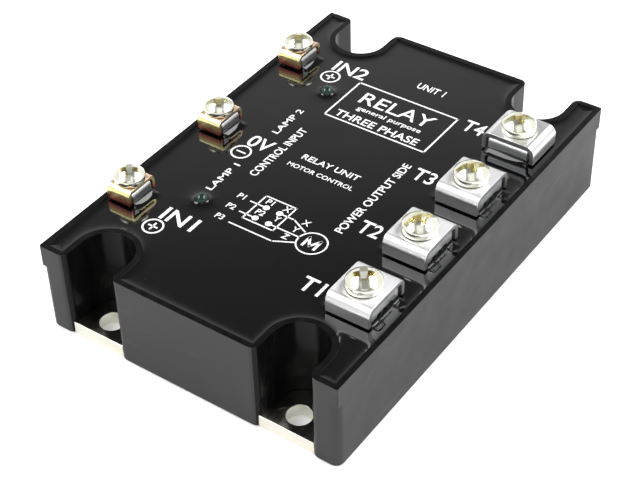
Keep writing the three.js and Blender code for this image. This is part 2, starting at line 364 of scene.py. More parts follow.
class Shader:
    """A small helper that builds one procedural material."""

    def __init__(self, name):
        self.material = bpy.data.materials.new(name)
        self.material.use_nodes = True
        self.tree = self.material.node_tree
        self.bsdf = self.tree.nodes["Principled BSDF"]
        self.coords = self.add("ShaderNodeTexCoord").outputs["Object"]

    def add(self, kind, **settings):
        node = self.tree.nodes.new(kind)
        for key, value in settings.items():
            setattr(node, key, value)
        return node

    def link(self, source, target):
        self.tree.links.new(source, target)

    def set(self, **values):
        for key, value in values.items():
            self.bsdf.inputs[key.replace("_", " ")].default_value = value
        return self

    def stretched(self, scale):
        mapping = self.add("ShaderNodeMapping")
        mapping.inputs["Scale"].default_value = scale
        self.link(self.coords, mapping.inputs["Vector"])
        return mapping.outputs["Vector"]

    def noise(self, size_mm, detail=3.0, stretch=(1, 1, 1), distortion=0.0):
        node = self.add("ShaderNodeTexNoise")
        node.inputs["Scale"].default_value = 1 / (size_mm * MM)
        node.inputs["Detail"].default_value = detail
        node.inputs["Distortion"].default_value = distortion
        self.link(self.stretched(stretch), node.inputs["Vector"])
        return node.outputs["Fac"]

    def specks(self, size_mm, threshold):
        """1 inside scattered round specks, 0 elsewhere."""
        node = self.add("ShaderNodeTexVoronoi")
        node.inputs["Scale"].default_value = 1 / (size_mm * MM)
        self.link(self.coords, node.inputs["Vector"])
        return self.ramp(node.outputs["Distance"], [(0, 1), (threshold, 1), (threshold * 1.5, 0)])

    def ramp(self, source, stops):
        """A grey ramp; stops are (position, value)."""
        return self.colours(source, [(at, (v, v, v)) for at, v in stops])

    def colours(self, source, stops):
        node = self.add("ShaderNodeValToRGB")
        elements = node.color_ramp.elements
        while len(elements) < len(stops):
            elements.new(0.5)
        for element, (at, colour) in zip(elements, stops):
            element.position = at
            element.color = (*colour, 1)
        self.link(source, node.inputs["Fac"])
        return node.outputs["Color"]

    def mix(self, factor, first, second):
        node = self.add("ShaderNodeMix", data_type="RGBA")
        self.link(factor, node.inputs["Factor"])
        for value, socket in ((first, node.inputs[6]), (second, node.inputs[7])):
            if isinstance(value, tuple):
                socket.default_value = (*value, 1)
            else:
                self.link(value, socket)
        return node.outputs[2]

    def colour(self, source):
        self.link(source, self.bsdf.inputs["Base Color"])
        return self

    def roughness(self, source, low, high):
        self.link(self.ramp(source, [(0.3, low), (0.7, high)]), self.bsdf.inputs["Roughness"])
        return self

    def bump(self, *layers):
        """Each layer is (height source, strength, depth in millimetres)."""
        normal = None
        for source, strength, depth in layers:
            node = self.add("ShaderNodeBump")
            node.inputs["Strength"].default_value = strength
            node.inputs["Distance"].default_value = depth * MM
            self.link(source, node.inputs["Height"])
            if normal is not None:
                self.link(normal, node.inputs["Normal"])
            normal = node.outputs["Normal"]
        self.link(normal, self.bsdf.inputs["Normal"])
        return self


def black_plastic():
    """Moulded shell: a satin skin with soft mottling and fine grain."""
    s = Shader("black_plastic")
    cloud = s.noise(5, detail=5)
    grain = s.noise(0.22, detail=2)
    scuffs = s.ramp(s.noise(1.6, detail=5, stretch=(0.15, 0.15, 1)), [(0.62, 0), (0.72, 1)])
    skin = s.colours(cloud, [(0.3, (0.009, 0.009, 0.010)), (0.7, (0.016, 0.016, 0.017))])
    s.set(IOR=1.42)
    s.colour(s.mix(scuffs, skin, (0.024, 0.024, 0.024)))
    s.roughness(cloud, 0.43, 0.53)
    s.bump((cloud, 0.15, 0.05), (grain, 0.3, 0.01))
    return s.material


def wet_plastic_painted_shade():
    """The shell where resin has run over it, the rims and the notches: glossier, and painted deep
    black, a painted shade for the dark rims and notches.
    """
    s = Shader("wet_plastic_painted_shade")
    run = s.noise(3.0, detail=2, stretch=(1, 1, 0.3))
    grain = s.noise(0.3, detail=2)
    s.set(IOR=1.22)
    # painted shade: near black, darker than the shell's own black
    s.colour(s.colours(run, [(0.3, (0.0025, 0.0025, 0.0028)), (0.7, (0.005, 0.005, 0.0053))]))
    s.roughness(run, 0.16, 0.3)
    s.bump((run, 0.25, 0.06), (grain, 0.15, 0.006))
    return s.material


def black_resin():
    s = Shader("black_resin")
    wave = s.noise(14, detail=1)
    ripple = s.noise(2.5, detail=2)
    dust = s.specks(3.4, 0.012)
    s.set(IOR=1.46)
    s.colour(s.mix(dust, (0.0016, 0.0016, 0.002), (0.12, 0.10, 0.09)))
    s.roughness(ripple, 0.035, 0.07)
    s.bump((wave, 0.3, 0.1), (ripple, 0.10, 0.01))
    return s.material


def metal(name, tints, rough, size_mm=1.6, stretch=(1, 1, 1), depth=0.01, spread=None):
    """Bare or plated metal: two tints in soft patches, with fine marks along one direction.
    spread is the direction in which a brushed finish spreads its gloss."""
    s = Shader(name)
    patch = s.noise(size_mm * 3)
    marks = s.noise(size_mm * 0.12, detail=4, stretch=stretch)
    s.set(Metallic=1.0)
    if spread:
        s.set(Anisotropic=0.8)
        direction = s.add("ShaderNodeCombineXYZ")
        for axis, value in zip("XYZ", spread):
            direction.inputs[axis].default_value = value
        s.link(direction.outputs["Vector"], s.bsdf.inputs["Tangent"])
    s.colour(s.colours(patch, [(0.3, tints[0]), (0.7, tints[1])]))
    s.roughness(marks, *rough)
    s.bump((patch, 0.25, depth * 3), (marks, 0.25, depth))
    return s.material


def yellow_chromate():
    """Zinc with a passivation film, tinted by height: pink gold on top, green gold round the
    bend, and brown to dark red down the flanges, a painted tint for the red that the film
    reflects there at a slant."""
    s = Shader("yellow_chromate")
    drift = s.noise(4.5, detail=1, distortion=0.4)
    marks = s.noise(0.25, detail=3, stretch=(1, 0.2, 1))
    split = s.add("ShaderNodeSeparateXYZ")
    s.link(s.coords, split.inputs[0])
    # painted reflection tint: the colour runs with height, redder and darker down the flanges
    painted_slant_tint = s.add("ShaderNodeMapRange")
    foot, top = 21.5 * MM, 25.1 * MM
    for key, value in (("From Min", foot), ("From Max", top), ("To Max", 0.8)):
        painted_slant_tint.inputs[key].default_value = value
    s.link(split.outputs["Z"], painted_slant_tint.inputs["Value"])
    wander = s.add("ShaderNodeMath", operation="MULTIPLY_ADD")
    wander.inputs[1].default_value = 0.2
    s.link(drift, wander.inputs[0])
    s.link(painted_slant_tint.outputs["Result"], wander.inputs[2])
    s.set(Metallic=1.0)
    s.colour(s.colours(wander.outputs["Value"], [
        (0.12, (0.36, 0.06, 0.05)),
        (0.30, (0.70, 0.28, 0.18)),
        (0.46, (0.88, 0.62, 0.30)),
        (0.66, (0.93, 0.90, 0.42)),
        (0.88, (0.92, 0.66, 0.50)),
    ]))
    s.roughness(marks, 0.25, 0.36)
    s.bump((drift, 0.2, 0.03), (marks, 0.25, 0.008))
    return s.material


def plain_solid(name, dark, light, rough, size_mm=1.5, depth=0.02, **settings):
    """A moulded, cast or coated surface: soft tint drift, fine grain and uneven gloss."""
    s = Shader(name)
    drift = s.noise(size_mm)
    grain = s.noise(size_mm * 0.15, detail=2)
    s.set(**settings)
    s.colour(s.colours(drift, [(0.3, dark), (0.7, light)]))
    s.roughness(grain, *rough)
    s.bump((drift, 0.2, depth), (grain, 0.2, depth * 0.3))
    return s.material


def circuit_laminate():
    s = Shader("green_board")
    weave = s.noise(0.5, detail=1, stretch=(1, 0.15, 1))
    drift = s.noise(8)
    s.colour(s.colours(drift, [(0.3, (0.010, 0.10, 0.035)), (0.7, (0.018, 0.15, 0.055))]))
    s.roughness(weave, 0.3, 0.45)
    s.bump((weave, 0.3, 0.02))
    return s.material


def printing_ink():
    s = Shader("white_ink")
    grain = s.noise(0.3, detail=3)
    s.colour(s.colours(grain, [(0.25, (0.66, 0.66, 0.66)), (0.6, (0.84, 0.84, 0.84))]))
    s.roughness(grain, 0.45, 0.6)
    s.bump((grain, 0.2, 0.01))
    return s.material


BRUSHED = dict(tints=((0.76, 0.76, 0.77), (0.85, 0.85, 0.86)), rough=(0.33, 0.43), depth=0.006)
METALS = {
    "nickel_plate": dict(tints=((0.74, 0.72, 0.63), (0.83, 0.81, 0.73)), rough=(0.10, 0.22),
                         size_mm=3, stretch=(0.1, 1, 1)),
    "bright_nickel": dict(stretch=(0.05, 1, 0.05), spread=(0, 1, 0), **BRUSHED),
    "bright_nickel_turned": dict(stretch=(1, 0.05, 0.05), spread=(1, 0, 0), **BRUSHED),
    "screw_nickel": dict(tints=((0.84, 0.84, 0.68), (0.94, 0.93, 0.84)), rough=(0.14, 0.24),
                         size_mm=1.2),
    "dull_tin": dict(tints=((0.38, 0.38, 0.39), (0.54, 0.54, 0.55)), rough=(0.30, 0.44),
                     size_mm=1.2, stretch=(0.2, 1, 1)),
    "sheared_edge": dict(tints=((0.34, 0.34, 0.35), (0.52, 0.52, 0.53)), rough=(0.30, 0.46),
                         size_mm=1.5),
    # partly a golden tint, partly painted shade: the recess arms are darker than the head
    "recess_gold_and_shade": dict(tints=((0.46, 0.38, 0.16), (0.68, 0.60, 0.32)), rough=(0.16, 0.30),
                         size_mm=0.5, depth=0.02),
    "tinned_metal": dict(tints=((0.70, 0.71, 0.72), (0.80, 0.81, 0.82)), rough=(0.34, 0.48),
                         size_mm=2.4, depth=0.004),
    "silicon": dict(tints=((0.30, 0.31, 0.35), (0.42, 0.43, 0.47)), rough=(0.15, 0.3)),
}
SOLIDS = {
    "green_lens": dict(dark=(0.002, 0.014, 0.010), light=(0.004, 0.036, 0.024),
                       rough=(0.04, 0.09), IOR=1.5),
    "clear_gel": dict(dark=(0.62, 0.66, 0.70), light=(0.72, 0.76, 0.80), rough=(0.08, 0.2),
                      size_mm=6, Transmission_Weight=0.5),
    "white_ceramic": dict(dark=(0.78, 0.77, 0.72), light=(0.88, 0.87, 0.83), rough=(0.4, 0.55)),
    "black_epoxy_part": dict(dark=(0.018, 0.018, 0.02), light=(0.035, 0.035, 0.037),
                             rough=(0.4, 0.6)),
    "film_capacitor": dict(dark=(0.42, 0.22, 0.03), light=(0.55, 0.32, 0.06),
                           rough=(0.2, 0.35)),
    "resistor_coat": dict(dark=(0.13, 0.32, 0.42), light=(0.2, 0.42, 0.52), rough=(0.35, 0.5)),
}
MATERIALS = {
    "black_plastic": black_plastic(),
    "wet_plastic_painted_shade": wet_plastic_painted_shade(),
    "black_resin": black_resin(),
    "white_ink": printing_ink(),
    "yellow_chromate": yellow_chromate(),
    "green_board": circuit_laminate(),
}
MATERIALS |= {name: metal(name, **look) for name, look in METALS.items()}
MATERIALS |= {name: plain_solid(name, **look) for name, look in SOLIDS.items()}


def finish_piece(obj, slot, body, *nodes, material=None, second=None, where=None):
    """Gives a new piece its material, its body and the CAD nodes that it stands for. where
    picks the faces that take a second material, by their centre in millimetres and normal."""
    obj.data.materials.clear()
    obj.data.materials.append(MATERIALS[material or slot])
    if second:
        obj.data.materials.append(MATERIALS[second])
        for face in obj.data.polygons:
            face.material_index = int(where(face.center / MM, face.normal))
    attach(obj, body)
    if nodes:
        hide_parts(*nodes)


# ---- housing and plate


def make_housing():
    """One ring of loops: up the outside, over the rim and down the inside. In the notches the
    wall stands on the base plate, elsewhere it reaches the bottom."""
    seat = PLATE_TOP + GAP
    lower, marks = plan(0, CORNER_R, MOUTH_R)
    upper, _ = plan(0, TOP_CORNER_R, MOUTH_R)
    inner, _ = plan(WALL)
    foot = [seat if mark else HOUSING_LOW.z for mark in marks]
    loops = [
        [(x, y, z) for (x, y), z in zip(lower, foot)],
        [(x, y, STEP_Z) for x, y in lower],
        [(x, y, STEP_Z) for x, y in upper],
        [(x, y, RIM_Z) for x, y in upper],
        [(x, y, RIM_Z) for x, y in inner],
        [(x, y, z) for (x, y), z in zip(inner, foot)],
    ]
    obj = loop_stack("housing_shell", loops, closed_ring=True)
    soften(obj, 0.2, segments=3)
    smooth(obj)
    # the rim, the inner side and the notches take the near-black painted shade
    finish_piece(obj, "black_plastic", "root", "housing", second="wet_plastic_painted_shade",
                 where=wet_and_shaded_faces)


def wet_and_shaded_faces(centre, normal):
    """True on the rim, the inner side and the notches: the faces that take the wet gloss and the
    painted shade.
    """
    if normal.z > 0.95 and centre.z > STEP_Z + 1:
        return True
    x, y = abs(centre.x), abs(abs(centre.y) - NOTCH_Y)
    in_notch = y < NOTCH_HALF + MOUTH_R * 0.4 and x > NOTCH_CENTRE_X - NOTCH_HALF - 0.5
    inner_side = wall_distance(centre.x, centre.y) > 0
    return (in_notch and abs(normal.z) < 0.5) or inner_side


def plate_outline():
    end_x = LENGTH / 2 - WALL - GAP
    side_y = WIDTH / 2 - WALL - GAP
    r = PLATE_CORNER_R
    end = arc(end_x - r, -side_y + r, r, -90, 0, 6)
    for y in (-NOTCH_Y, NOTCH_Y):
        end += [(end_x, y - PLATE_TAB_HALF), (PLATE_HIGH.x, y - PLATE_TAB_HALF)]
        end += [(PLATE_HIGH.x, y + PLATE_TAB_HALF), (end_x, y + PLATE_TAB_HALF)]
    end += arc(end_x - r, side_y - r, r, 0, 90, 6)
    return end + [(-x, -y) for x, y in end]


def make_base_plate():
    holes = [
        arc(x, y, HOLE_R, 360, 0, 48)[:-1]
        for x in (-HOLE_X, HOLE_X)
        for y in (-NOTCH_Y, NOTCH_Y)
    ]
    obj = slab("mounting_plate", plate_outline(), holes, PLATE_LOW.z, PLATE_TOP, 0.12)
    smooth(obj)
    finish_piece(obj, "nickel_plate", "root", "base_plate")


# ---- resin


RAMP_FADE = 0.22
CONTACT_FADE = 0.15
LOAD_LEG = dict(slope=0.16, reach=1.9, contact=0.3, shorten=(0.3, 1.0), taper=0)
TURNED_LEG = dict(slope=0.97, reach=1.25, contact=0.25, shorten=(1.0, 0.3), taper=0.25)
CONTROL_LEG = dict(slope=0.57, reach=1.5, contact=0.3, shorten=(0.3, 1.0), taper=0.22)


def fading(rise, distance, reach):
    return rise * math.exp(-distance / reach)


class Leg:
    """A lug leg where it stands in the resin. The resin climbs it in an even ramp of the given
    slope and reach and steepens by contact where it touches. Shorten scales the reach along X
    and Y, and taper lowers the climb towards the leg's corners."""

    def __init__(self, box, slope, reach, contact, shorten, taper):
        self.box = box
        self.slope = slope
        self.reach = reach
        self.contact = contact
        self.shorten = shorten
        self.taper = taper

    def off_centre(self, x, y):
        """0 at the middle of the leg's long side, 1 at its corners and beyond."""
        x0, y0, x1, y1 = self.box
        if x1 - x0 > y1 - y0:
            return min(1.0, abs(2 * x - x0 - x1) / (x1 - x0))
        return min(1.0, abs(2 * y - y0 - y1) / (y1 - y0))

    def climb(self, x, y):
        x0, y0, x1, y1 = self.box
        across = max(x0 - x, 0, x - x1) / self.shorten[0]
        along = max(y0 - y, 0, y - y1) / self.shorten[1]
        distance = math.hypot(across, along)
        run_out = math.log(1 + math.exp((self.reach - distance) / RAMP_FADE))
        rise = self.slope * RAMP_FADE * run_out + fading(self.contact, distance, CONTACT_FADE)
        return rise * (1 - self.taper * self.off_centre(x, y) ** 2)


def stand_legs():
    legs = []
    for n in LOAD_NAMES:
        low, high = box_mm(f"output_lug_{n}")
        climb = TURNED_LEG if n == "4" else LOAD_LEG
        sheet = LOAD_LUG["sheet"]
        for x in (low.x, high.x - sheet):
            legs.append(Leg((x, low.y, x + sheet, high.y), **climb))
    for n in CONTROL_NAMES:
        low, high = box_mm(f"input_lug_{n}")
        sheet = CONTROL_LUG["sheet"]
        for y in (low.y, high.y - sheet):
            legs.append(Leg((low.x, y, high.x, y + sheet), **CONTROL_LEG))
    return legs


def narrow_gaps():
    """In plan, the three load lugs that the resin climbs under."""
    boxes = [box_mm(f"output_lug_{n}") for n in LOAD_NAMES[:3]]
    return [(low.x, low.y, high.x, high.y) for low, high in boxes]


def screw_wells():
    """Round wells that keep the resin clear of the screw shanks: (x, y, radius)."""
    wells = [(*centre_of(f"output_screw_{n}"), LOAD_WELL_R) for n in LOAD_NAMES]
    return wells + [(*centre_of(f"input_screw_{n}"), CONTROL_WELL_R) for n in CONTROL_NAMES]


LED_R = 1.5
LAMP_HEIGHT = 6.9
LEGS = stand_legs()
LEDS = [centre_of(f"led_{name}") for name in LAMP_NAMES]
NARROW_GAPS = narrow_gaps()
WELLS = screw_wells()
OPENINGS = WELLS + [(x, y, LED_R + 0.01) for x, y in LEDS]


def wall_distance(x, y):
    """Distance from a point inside the frame to its nearest inner wall."""
    ax, ay = abs(x), abs(y)
    distance = min(LENGTH / 2 - WALL - ax, WIDTH / 2 - WALL - ay)
    dy = abs(ay - NOTCH_Y)
    half = NOTCH_HALF + WALL
    if ax >= NOTCH_CENTRE_X:
        distance = min(distance, dy - half)
    else:
        distance = min(distance, math.hypot(ax - NOTCH_CENTRE_X, dy) - half)
    return max(distance, 0.0)


def box_distance(x, y, box):
    x0, y0, x1, y1 = box
    return math.hypot(max(x0 - x, 0, x - x1), max(y0 - y, 0, y - y1))


def led_distance(x, y):
    return min(abs(math.hypot(x - cx, y - cy) - LED_R) for cx, cy in LEDS)


def resin_height(x, y):
    """The resin climbs a little up every wall, leg and lamp that it met while liquid, and
    fills the narrow gap under three of the load lugs."""
    wall = fading(0.16, wall_distance(x, y), 0.6)
    gap = fading(1.4, min(box_distance(x, y, box) for box in NARROW_GAPS), 0.1)
    leg = sum(leg.climb(x, y) ** 4 for leg in LEGS) ** 0.25
    led = fading(0.4, led_distance(x, y), 0.5)
    return RESIN_Z + max(wall, leg, led, gap)


def ring_round(box, out, spacing):
    """Points round a box in plan, out from its sides. A negative out goes inside."""
    x0, y0, x1, y1 = box
    if out < 0:
        x0, y0, x1, y1 = x0 - out, y0 - out, x1 + out, y1 + out
        out = 0.0
    across = max(2, round((x1 - x0) / spacing))
    along = max(2, round((y1 - y0) / spacing))
    points = []
    for i in range(across + 1):
        x = x0 + (x1 - x0) * i / across
        points += [(x, y0 - out), (x, y1 + out)]
    for i in range(along + 1):
        y = y0 + (y1 - y0) * i / along
        points += [(x0 - out, y), (x1 + out, y)]
    for x, y, start in ((x1, y1, 0), (x0, y1, 90), (x0, y0, 180), (x1, y0, 270)):
        points += arc(x, y, out, start, start + 90, 5)[1:-1]
    return points


WALL_RINGS = (0.12, 0.3, 0.55, 0.9, 1.4, 2.1)
LEG_RINGS = (-0.3, -0.05, 0.06, 0.16, 0.3, 0.48, 0.7, 0.95, 1.25, 1.55, 1.9, 2.3, 2.8)
NET_STEP = 1.6
JITTER = 0.2


def resin_samples():
    """Points across the resin's surface, close together where it climbs."""
    samples = []
    for out in WALL_RINGS:
        ring = dense_outline(without_doubles(plan(WALL + 0.05 + out, notch_steps=36)[0]), 0.8)
        samples += [p for p in ring if wall_distance(*p) > out * 0.9]
        for cx, cy in LEDS:
            samples += arc(cx, cy, LED_R + out * 0.5, 0, 360, 32)[:-1]
    for out in LEG_RINGS:
        for box in [leg.box for leg in LEGS] + NARROW_GAPS:
            samples += ring_round(box, out, 0.35 if out < 0.6 else 0.6)
    jitter = random.Random(SEED)
    for i in range(int(LENGTH / NET_STEP)):
        for j in range(int(WIDTH / NET_STEP)):
            x = -LENGTH / 2 + (i + 0.5) * NET_STEP + jitter.uniform(-JITTER, JITTER)
            y = -WIDTH / 2 + (j + 0.5) * NET_STEP + jitter.uniform(-JITTER, JITTER)
            if min(box_distance(x, y, leg.box) for leg in LEGS) > 1.2:
                samples.append((x, y))
    return [
        (x, y) for x, y in samples
        if wall_distance(x, y) > 0.1
        and all(math.hypot(x - cx, y - cy) > radius + 0.05 for cx, cy, radius in OPENINGS)
    ]


def dense_outline(points, spacing):
    """The same outline with its long sides divided."""
    dense = []
    for i, point in enumerate(points):
        following = Vector(points[(i + 1) % len(points)])
        run = following - Vector(point)
        steps = max(1, int(run.length / spacing))
        dense += [tuple(Vector(point) + run * (k / steps)) for k in range(steps)]
    return dense


def make_resin():
    """The surface is a fine net lifted where the resin climbs, with straight sides below."""
    edge = dense_outline(without_doubles(plan(WALL + 0.03)[0]), 0.9)
    openings = [arc(x, y, radius, 0, 360, 40)[:-1] for x, y, radius in OPENINGS]
    points, triangles = flat_region(edge, openings, resin_samples())
    count = len(points)
    vertices = [(p.x, p.y, resin_height(p.x, p.y)) for p in points]
    vertices += [(p.x, p.y, RESIN_LOW.z) for p in points]
    faces = list(triangles)
    faces += [tuple(count + i for i in reversed(t)) for t in triangles]
    faces += [(i, j, count + j, count + i) for i, j in open_edges(triangles)]
    obj = make_object("resin_fill", vertices, faces)
    smooth(obj, angle=60)
    finish_piece(obj, "black_resin", "root", "potting_resin")


def open_edges(triangles):
    """The edges that belong to one triangle only, in that triangle's direction."""
    seen = {(t[i], t[(i + 1) % 3]) for t in triangles for i in range(3)}
    return [edge for edge in seen if (edge[1], edge[0]) not in seen]


# ---- terminal parts


def bridge_section(half, top, foot, sheet, bend_r):
    """Counter-clockwise outline of an upside-down U, in its own X and Z."""
    inner_r = max(bend_r - sheet, 0.15)
    outer = arc(half - bend_r, top - bend_r, bend_r, 0, 90, 8)
    outer += arc(-half + bend_r, top - bend_r, bend_r, 90, 180, 8)
    inner = arc(-half + sheet + inner_r, top - sheet - inner_r, inner_r, 180, 90, 5)
    inner += arc(half - sheet - inner_r, top - sheet - inner_r, inner_r, 90, 0, 5)
    return [(half, foot), *outer, (-half, foot), (-half + sheet, foot), *inner,
            (half - sheet, foot)]


def make_bridge(name, node, hole_centre, legs_on_x, sheet, bend_r, hole_r, edge_r):
    """Bent sheet in the CAD piece's place, with soft edges and a round hole."""
    low, high = box_mm(node)
    size = high - low
    centre = (low + high) / 2
    span, width = (size.x, size.y) if legs_on_x else (size.y, size.x)
    section = bridge_section(span / 2, high.z, low.z, sheet, bend_r)
    obj = slab(name, section, [], -width / 2, width / 2, edge_r)
    move_mesh(obj, Matrix.Rotation(math.pi / 2, 4, "X"))
    if not legs_on_x:
        move_mesh(obj, Matrix.Rotation(math.pi / 2, 4, "Z"))
    move_mesh(obj, shift(centre.x, centre.y, 0))
    x, y = hole_centre
    cut(obj, round_rod("tool", x, y, hole_r, high.z - sheet - 0.6, high.z + 1, 40))
    smooth(obj)
    return obj


def screw_rings(head, shank_r, shank_length, pitch, sides):
    """Rings from the tip to the top of the head. z is 0 at the seat."""
    rings = []
    per_turn = 10
    count = int(shank_length / pitch * per_turn)
    for row in range(count + 1):
        z = -shank_length + shank_length * row / count
        fade = min(1.0, (z + shank_length) / 0.6, max(0.0, -z / 0.3))
        ring = []
        for i in range(sides):
            angle = 2 * math.pi * i / sides
            phase = (z / pitch - i / sides) % 1.0
            depth = pitch * 0.5 * abs(2 * phase - 1)
            r = shank_r - 0.12 * pitch - depth * fade
            if row == 0:
                r *= 0.8
            ring.append((r * math.cos(angle), r * math.sin(angle), z))
        rings.append(ring)
    for r, z in head_profile(*head):
        rings.append([
            (r * math.cos(2 * math.pi * i / sides), r * math.sin(2 * math.pi * i / sides), z)
            for i in range(sides)
        ])
    return rings


def dome_height(r, head_r, head_height):
    """Height of the head's round top at a distance r from its axis."""
    drop = head_height * DOME_SHARE
    ball_r = (head_r ** 2 + drop ** 2) / (2 * drop)
    return head_height - ball_r + math.sqrt(ball_r ** 2 - min(r, head_r) ** 2)


def head_profile(head_r, head_height):
    """Radius and height up the side of a head with a straight wall and a domed top."""
    edge = dome_height(head_r, head_r, head_height)
    profile = [(head_r - 0.25, 0), (head_r - 0.07, 0.05), (head_r, 0.18), (head_r, edge - 0.16)]
    for share in (0.985, 0.95, 0.9, 0.83, 0.75, 0.66, 0.56, 0.45, 0.34, 0.22, 0.08):
        r = head_r * share
        profile.append((r, dome_height(r, head_r, head_height)))
    return profile


def tapered_cross(name, arm, width, top, depth):
    """A cross-shaped plug, narrower towards its point, for the driver recess."""
    levels = [
        (top + 1, arm, width),
        (top, arm, width),
        (top - depth * 0.5, arm * 0.8, width * 0.85),
        (top - depth, arm * 0.4, width * 0.7),
    ]
    loops = []
    for z, a, w in levels:
        h = w / 2
        a = max(a, h + 0.05)
        loop = [(a, -h), (a, h), (h, h), (h, a), (-h, a), (-h, h), (-a, h), (-a, -h), (-h, -h),
                (-h, -a), (h, -a), (h, -h)]
        loops.append([(x, y, z) for x, y in loop])
    return loop_stack(name, loops)


def make_screw_mesh(name, head, shank_r, shank_length, pitch, slot):
    """A domed screw with a slot and a cross in its head, standing with its seat at z = 0."""
    head_r, head_height = head
    obj = loop_stack(name, screw_rings(head, shank_r, shank_length, pitch, 64))
    cut(obj, tapered_cross("tool", head_r * 0.6, slot * 1.25, head_height, head_height * 0.72))
    half = slot / 2
    low = head_height * SLOT_FLOOR
    slot_loop = [(-head_r - 1, -half), (head_r + 1, -half), (head_r + 1, half),
                 (-head_r - 1, half)]
    cut(obj, loop_stack("tool", [[(x, y, z) for x, y in slot_loop]
                                 for z in (low, head_height + 1)]))
    smooth(obj, angle=38)
    return obj


SCREW_TURNS = {
    "output_screw_1": 37, "output_screw_2": 150, "output_screw_3": 138, "output_screw_4": 133,
    "input_screw_reverse": 36, "input_screw_common": 128, "input_screw_forward": 121,
}


def cross_arms(axis, seat, turn, head, slot):
    """A test that is true for faces in the arms of the cross that lie across the slot, which take
    the painted shade.
    """
    across_slot = Vector((-math.sin(turn), math.cos(turn)))

    def in_arms(centre, normal):
        r = math.hypot(centre.x - axis[0], centre.y - axis[1])
        across = abs((centre.xy - Vector(axis)).dot(across_slot))
        depth = dome_height(r, *head) - (centre.z - seat)
        in_arm = slot * 0.5 < across < head[0] * 0.62
        return centre.z > seat and depth > 0.25 and in_arm and r < head[0] * 0.7

    return in_arms


def make_screws():
    for side, names, kind in (("output", LOAD_NAMES, LOAD_SCREW),
                              ("input", CONTROL_NAMES, CONTROL_SCREW)):
        low, high = box_mm(f"{side}_screw_{names[0]}")
        head = ((high.x - low.x) / 2, kind["head_height"])
        seat = high.z - kind["head_height"]
        master = make_screw_mesh("screw_master", head, kind["shank_r"], seat - low.z,
                                 kind["pitch"], kind["slot"])
        for n in names:
            node = f"{side}_screw_{n}"
            axis = centre_of(node)
            turn = math.radians(SCREW_TURNS[node])
            obj = place(f"{node}_detail", master.data.copy())
            move_mesh(obj, Matrix.Rotation(turn, 4, "Z"))
            move_mesh(obj, shift(*axis, seat))
            # the cross arms take the darker gold, a painted shade in the recess
            finish_piece(obj, "screw_nickel", node, node, second="recess_gold_and_shade",
                         where=cross_arms(axis, seat, turn, head, kind["slot"]))
        bpy.data.objects.remove(master)


def along_x(centre, normal):
    return abs(normal.x) > 0.95


def along_y(centre, normal):
    return abs(normal.y) > 0.95


def make_lugs_and_clamps():
    """Bent sheet throughout. The sheared sides of the load clamps stay grey."""
    for n in LOAD_NAMES:
        centre = centre_of(f"output_screw_{n}")
        node = f"output_lug_{n}"
        lug = make_bridge(f"{node}_sheet", node, centre, True, **LOAD_LUG)
        finish_piece(lug, "tinned_metal", "root", node)
        node = f"output_clamp_{n}"
        turned = n == "4"
        clamp = make_bridge(f"{node}_saddle", node, centre, not turned, **LOAD_CLAMP)
        finish_piece(clamp, "bright_nickel", node, node,
                     material="bright_nickel_turned" if turned else None,
                     second="sheared_edge", where=along_x if turned else along_y)
    for n in CONTROL_NAMES:
        centre = centre_of(f"input_screw_{n}")
        node = f"input_lug_{n}"
        lug = make_bridge(f"{node}_sheet", node, centre, False, **CONTROL_LUG)
        finish_piece(lug, "tinned_metal", "root", node, material="dull_tin")
        node = f"input_clamp_{n}"
        clamp = make_bridge(f"{node}_saddle", node, centre, True, **CONTROL_CLAMP)
        finish_piece(clamp, "yellow_chromate", node, node)


# ---- lamps


def make_lamps():
    """Round-topped lamps whose domes stand half out of the resin."""
    for name in LAMP_NAMES:
        node = f"led_{name}"
        low, high = box_mm(node)
        x, y = centre_of(node)
        flange_r = (high.x - low.x) / 2
        base = high.z - LAMP_HEIGHT
        profile = [(flange_r - 0.1, base), (flange_r, base + 0.1), (flange_r, base + 0.95)]
        profile += [(LED_R, base + 1.0), (LED_R, high.z - LED_R)]
        for i in range(1, 14):
            angle = math.pi / 2 * i / 14
            profile.append((LED_R * math.cos(angle), high.z - LED_R * (1 - math.sin(angle))))
        rings = [[(x + r * math.cos(a), y + r * math.sin(a), z)
                  for a in (2 * math.pi * i / 48 for i in range(48))] for r, z in profile]
        obj = loop_stack(f"{node}_lens", rings)
        smooth(obj)
        finish_piece(obj, "green_lens", "root", node)


# ---- printing

INK_Z = RESIN_Z + 0.02
INK_THICK = 0.03
LINE = 0.42
THIN_LINE = 0.34
CAPITALS = 4.1  # height of the terminal names' letters
POLE_Y = 21.3
POLE_R = 2.15
POLE_ARM = 2.4
ink_pieces = []


def ink_box(x, y, length, width, angle=0.0):
    """A thin bar of ink centred on x, y."""
    half = Vector((length / 2, width / 2))
    corners = [(-half.x, -half.y), (half.x, -half.y), (half.x, half.y), (-half.x, half.y)]
    c, s = math.cos(angle), math.sin(angle)
    loop = [(x + px * c - py * s, y + px * s + py * c) for px, py in corners]
    ink_pieces.append(loop_stack("ink", [[(px, py, z) for px, py in loop]
                                         for z in (INK_Z, INK_Z + INK_THICK)]))


def ink_line(points, width=LINE):
    for (x0, y0), (x1, y1) in zip(points, points[1:]):
        length = math.hypot(x1 - x0, y1 - y0) + width * 0.8
        ink_box((x0 + x1) / 2, (y0 + y1) / 2, length, width, math.atan2(y1 - y0, x1 - x0))


def ink_ring(x, y, radius, width=LINE):
    outer = arc(x, y, radius + width / 2, 0, 360, 64)[:-1]
    inner = arc(x, y, radius - width / 2, 0, 360, 64)[:-1]
    top = INK_Z + INK_THICK
    loops = [
        [(px, py, INK_Z) for px, py in outer], [(px, py, top) for px, py in outer],
        [(px, py, top) for px, py in inner], [(px, py, INK_Z) for px, py in inner],
    ]
    ink_pieces.append(loop_stack("ink", loops, closed_ring=True))


def ink_dot(x, y, radius):
    top = INK_Z + INK_THICK * 1.2
    ink_pieces.append(round_rod("ink", x, y, radius, INK_Z, top, 28))


